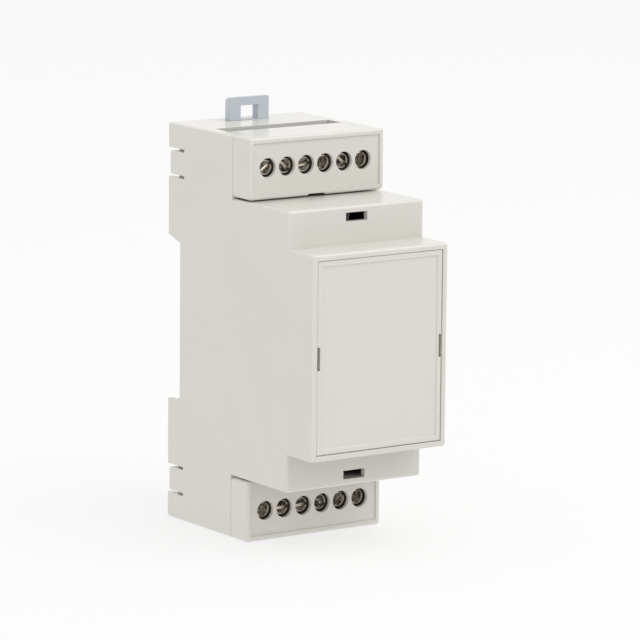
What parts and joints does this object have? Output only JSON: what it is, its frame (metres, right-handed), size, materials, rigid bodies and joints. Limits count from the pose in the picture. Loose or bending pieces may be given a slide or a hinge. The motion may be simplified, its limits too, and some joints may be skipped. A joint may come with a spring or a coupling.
{
  "type": "industrial control relay",
  "caption": "Rail-mounted control relay module with stepped housing, blank front panel, screw terminals behind guards and a sliding rail clip.",
  "frame": {"origin": "middle of the lower end face's footprint, under the centre of the whole object's box", "axes": "+X across the housing, along the rail; -Y out of the front face; +Z from the lower end to the clip tab at the upper end"},
  "size_m": [0.036, 0.0576, 0.0954],
  "materials": {
    "housing_plastic": "moulded, light satin gloss",
    "panel_plastic": "moulded, light satin gloss",
    "base_plastic": "moulded",
    "clip_plastic": "moulded, blue grey",
    "terminal_plastic": "glass filled, dark",
    "terminal_screw_steel": "zinc plated",
    "clamp_steel": "zinc plated",
    "contact_brass": "tinned",
    "board_laminate": "solder mask over glass laminate",
    "board_screw_steel": "zinc plated",
    "relay_cover_plastic": "moulded",
    "relay_base_plastic": "moulded",
    "bobbin_plastic": "moulded",
    "coil_wire": "enamelled copper wire",
    "relay_iron": "nickel plated soft iron",
    "film_capacitor_case": "moulded case, epoxy filled",
    "capacitor_sleeve": "shrunk sleeve",
    "varistor_coating": "dipped epoxy",
    "moulding_compound": "moulded",
    "tinned_lead": "tinned copper",
    "resistor_lacquer": "lacquered",
    "chip_ceramic": "sintered"
  },
  "bodies": {
    "housing": {"housing_cover": "housing_plastic", "rear_base": "base_plastic", "main_board": "board_laminate", "board_screws": "board_screw_steel", "lower_terminal_block": "terminal_plastic", "upper_terminal_block": "terminal_plastic", "lower_terminal_contacts": "contact_brass", "upper_terminal_contacts": "contact_brass", "relay_base": "relay_base_plastic", "relay_cover": "relay_cover_plastic", "relay_bobbin": "bobbin_plastic", "relay_coil": "coil_wire", "relay_core": "relay_iron", "relay_yoke": "relay_iron", "relay_pins": "contact_brass", "relay_fixed_contacts": "contact_brass", "film_capacitor": "film_capacitor_case", "smoothing_capacitor": "capacitor_sleeve", "output_capacitor": "capacitor_sleeve", "varistor": "varistor_coating", "bridge_rectifier": "moulding_compound", "voltage_regulator": "moulding_compound", "controller_chip": "moulding_compound", "controller_leads": "tinned_lead", "resistors": "resistor_lacquer", "diodes": "moulding_compound", "chip_resistors": "chip_ceramic", "chip_capacitors": "chip_ceramic"},
    "front_panel": {"front_panel": "panel_plastic"},
    "upper_guard": {"upper_terminal_guard": "housing_plastic"},
    "lower_guard": {"lower_terminal_guard": "housing_plastic"},
    "clip": {"din_clip": "clip_plastic"},
    "armature": {"relay_armature": "relay_iron", "relay_contact_arm": "contact_brass"},
    "upper_screw_1": {"upper_screw_1": "terminal_screw_steel"},
    "upper_clamp_1": {"upper_clamp_1": "clamp_steel"},
    "upper_screw_2": {"upper_screw_2": "terminal_screw_steel"},
    "upper_clamp_2": {"upper_clamp_2": "clamp_steel"},
    "upper_screw_3": {"upper_screw_3": "terminal_screw_steel"},
    "upper_clamp_3": {"upper_clamp_3": "clamp_steel"},
    "upper_screw_4": {"upper_screw_4": "terminal_screw_steel"},
    "upper_clamp_4": {"upper_clamp_4": "clamp_steel"},
    "upper_screw_5": {"upper_screw_5": "terminal_screw_steel"},
    "upper_clamp_5": {"upper_clamp_5": "clamp_steel"},
    "upper_screw_6": {"upper_screw_6": "terminal_screw_steel"},
    "upper_clamp_6": {"upper_clamp_6": "clamp_steel"},
    "lower_screw_1": {"lower_screw_1": "terminal_screw_steel"},
    "lower_clamp_1": {"lower_clamp_1": "clamp_steel"},
    "lower_screw_2": {"lower_screw_2": "terminal_screw_steel"},
    "lower_clamp_2": {"lower_clamp_2": "clamp_steel"},
    "lower_screw_3": {"lower_screw_3": "terminal_screw_steel"},
    "lower_clamp_3": {"lower_clamp_3": "clamp_steel"},
    "lower_screw_4": {"lower_screw_4": "terminal_screw_steel"},
    "lower_clamp_4": {"lower_clamp_4": "clamp_steel"},
    "lower_screw_5": {"lower_screw_5": "terminal_screw_steel"},
    "lower_clamp_5": {"lower_clamp_5": "clamp_steel"},
    "lower_screw_6": {"lower_screw_6": "terminal_screw_steel"},
    "lower_clamp_6": {"lower_clamp_6": "clamp_steel"}
  },
  "joints": [
    {"name": "clip_slide", "type": "slide", "parent": "housing", "child": "clip", "axis": [0, 0, 1], "range_m": [0, 0.004]},
    {"name": "front_panel_pull", "type": "slide", "parent": "housing", "child": "front_panel", "axis": [0, -1, 0], "range_m": [0, 0.02]},
    {"name": "upper_guard_pull", "type": "slide", "parent": "housing", "child": "upper_guard", "axis": [0, -1, 0], "range_m": [0, 0.042]},
    {"name": "lower_guard_pull", "type": "slide", "parent": "housing", "child": "lower_guard", "axis": [0, -1, 0], "range_m": [0, 0.042]},
    {"name": "armature_tilt", "type": "hinge", "parent": "housing", "child": "armature", "pos_m": [-0.0075, 0.00525, 0.0656], "axis": [-1, 0, 0], "range_deg": [0, 3.8], "stiffness_Nm_per_rad": 0.004, "springref_deg": -5.73},
    {"name": "upper_screw_1_turn", "type": "hinge", "parent": "housing", "child": "upper_screw_1", "pos_m": [-0.01295, 0.00375, 0.0835], "axis": [0, 1, 0], "range_deg": [0, 1445]},
    {"name": "upper_clamp_1_rise", "type": "slide", "parent": "housing", "child": "upper_clamp_1", "axis": [0, -1, 0], "range_m": [0, 0.002]},
    {"name": "upper_screw_2_turn", "type": "hinge", "parent": "housing", "child": "upper_screw_2", "pos_m": [-0.00787, 0.00375, 0.0835], "axis": [0, 1, 0], "range_deg": [0, 1445]},
    {"name": "upper_clamp_2_rise", "type": "slide", "parent": "housing", "child": "upper_clamp_2", "axis": [0, -1, 0], "range_m": [0, 0.002]},
    {"name": "upper_screw_3_turn", "type": "hinge", "parent": "housing", "child": "upper_screw_3", "pos_m": [-0.00279, 0.00375, 0.0835], "axis": [0, 1, 0], "range_deg": [0, 1445]},
    {"name": "upper_clamp_3_rise", "type": "slide", "parent": "housing", "child": "upper_clamp_3", "axis": [0, -1, 0], "range_m": [0, 0.002]},
    {"name": "upper_screw_4_turn", "type": "hinge", "parent": "housing", "child": "upper_screw_4", "pos_m": [0.00229, 0.00375, 0.0835], "axis": [0, 1, 0], "range_deg": [0, 1445]},
    {"name": "upper_clamp_4_rise", "type": "slide", "parent": "housing", "child": "upper_clamp_4", "axis": [0, -1, 0], "range_m": [0, 0.002]},
    {"name": "upper_screw_5_turn", "type": "hinge", "parent": "housing", "child": "upper_screw_5", "pos_m": [0.00737, 0.00375, 0.0835], "axis": [0, 1, 0], "range_deg": [0, 1445]},
    {"name": "upper_clamp_5_rise", "type": "slide", "parent": "housing", "child": "upper_clamp_5", "axis": [0, -1, 0], "range_m": [0, 0.002]},
    {"name": "upper_screw_6_turn", "type": "hinge", "parent": "housing", "child": "upper_screw_6", "pos_m": [0.01245, 0.00375, 0.0835], "axis": [0, 1, 0], "range_deg": [0, 1445]},
    {"name": "upper_clamp_6_rise", "type": "slide", "parent": "housing", "child": "upper_clamp_6", "axis": [0, -1, 0], "range_m": [0, 0.002]},
    {"name": "lower_screw_1_turn", "type": "hinge", "parent": "housing", "child": "lower_screw_1", "pos_m": [-0.01295, 0.00375, 0.0067], "axis": [0, 1, 0], "range_deg": [0, 1445]},
    {"name": "lower_clamp_1_rise", "type": "slide", "parent": "housing", "child": "lower_clamp_1", "axis": [0, -1, 0], "range_m": [0, 0.002]},
    {"name": "lower_screw_2_turn", "type": "hinge", "parent": "housing", "child": "lower_screw_2", "pos_m": [-0.00787, 0.00375, 0.0067], "axis": [0, 1, 0], "range_deg": [0, 1445]},
    {"name": "lower_clamp_2_rise", "type": "slide", "parent": "housing", "child": "lower_clamp_2", "axis": [0, -1, 0], "range_m": [0, 0.002]},
    {"name": "lower_screw_3_turn", "type": "hinge", "parent": "housing", "child": "lower_screw_3", "pos_m": [-0.00279, 0.00375, 0.0067], "axis": [0, 1, 0], "range_deg": [0, 1445]},
    {"name": "lower_clamp_3_rise", "type": "slide", "parent": "housing", "child": "lower_clamp_3", "axis": [0, -1, 0], "range_m": [0, 0.002]},
    {"name": "lower_screw_4_turn", "type": "hinge", "parent": "housing", "child": "lower_screw_4", "pos_m": [0.00229, 0.00375, 0.0067], "axis": [0, 1, 0], "range_deg": [0, 1445]},
    {"name": "lower_clamp_4_rise", "type": "slide", "parent": "housing", "child": "lower_clamp_4", "axis": [0, -1, 0], "range_m": [0, 0.002]},
    {"name": "lower_screw_5_turn", "type": "hinge", "parent": "housing", "child": "lower_screw_5", "pos_m": [0.00737, 0.00375, 0.0067], "axis": [0, 1, 0], "range_deg": [0, 1445]},
    {"name": "lower_clamp_5_rise", "type": "slide", "parent": "housing", "child": "lower_clamp_5", "axis": [0, -1, 0], "range_m": [0, 0.002]},
    {"name": "lower_screw_6_turn", "type": "hinge", "parent": "housing", "child": "lower_screw_6", "pos_m": [0.01245, 0.00375, 0.0067], "axis": [0, 1, 0], "range_deg": [0, 1445]},
    {"name": "lower_clamp_6_rise", "type": "slide", "parent": "housing", "child": "lower_clamp_6", "axis": [0, -1, 0], "range_m": [0, 0.002]}
  ],
  "couplings": [
    {"joint": "upper_screw_1_turn", "follows": "upper_clamp_1_rise", "rad_per_m": 12566},
    {"joint": "upper_screw_2_turn", "follows": "upper_clamp_2_rise", "rad_per_m": 12566},
    {"joint": "upper_screw_3_turn", "follows": "upper_clamp_3_rise", "rad_per_m": 12566},
    {"joint": "upper_screw_4_turn", "follows": "upper_clamp_4_rise", "rad_per_m": 12566},
    {"joint": "upper_screw_5_turn", "follows": "upper_clamp_5_rise", "rad_per_m": 12566},
    {"joint": "upper_screw_6_turn", "follows": "upper_clamp_6_rise", "rad_per_m": 12566},
    {"joint": "lower_screw_1_turn", "follows": "lower_clamp_1_rise", "rad_per_m": 12566},
    {"joint": "lower_screw_2_turn", "follows": "lower_clamp_2_rise", "rad_per_m": 12566},
    {"joint": "lower_screw_3_turn", "follows": "lower_clamp_3_rise", "rad_per_m": 12566},
    {"joint": "lower_screw_4_turn", "follows": "lower_clamp_4_rise", "rad_per_m": 12566},
    {"joint": "lower_screw_5_turn", "follows": "lower_clamp_5_rise", "rad_per_m": 12566},
    {"joint": "lower_screw_6_turn", "follows": "lower_clamp_6_rise", "rad_per_m": 12566}
  ]
}
